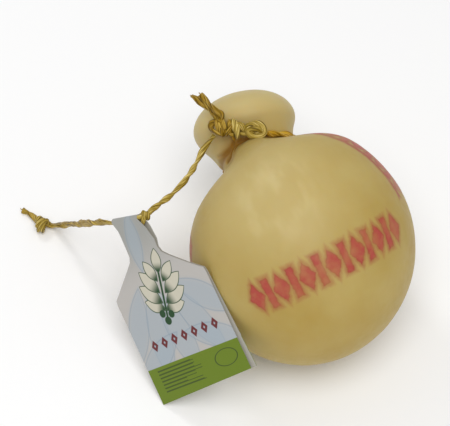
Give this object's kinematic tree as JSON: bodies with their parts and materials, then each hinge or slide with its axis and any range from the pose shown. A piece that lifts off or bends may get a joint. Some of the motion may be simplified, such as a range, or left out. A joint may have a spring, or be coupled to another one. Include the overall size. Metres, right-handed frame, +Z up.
{
  "type": "provolone cheese",
  "caption": "Round pale-yellow cheese with a tied neck and a small round head, lying on its side, with a twine cord and a folded paper hang tag.",
  "frame": {"origin": "centre of the foot of the cheese's bounding box, on the surface it rests on", "axes": "+X along the length, from the tied head towards the round base; +Z up; the tag is on the -Y side"},
  "size_m": [0.2035, 0.1977, 0.1293],
  "materials": {
    "rind": "smooth waxy cheese rind",
    "raffia": "twisted natural raffia",
    "card": "printed paper card"
  },
  "bodies": {
    "root": {"cheese": "rind", "neck_tie": "raffia", "neck_knot": "raffia", "tie_end_1": "raffia", "tie_end_2": "raffia", "twine_upper": "raffia", "twine_lower": "raffia", "twine_tail": "raffia", "tag_knot": "raffia", "end_knot": "raffia", "tag": "card"}
  },
  "joints": []
}
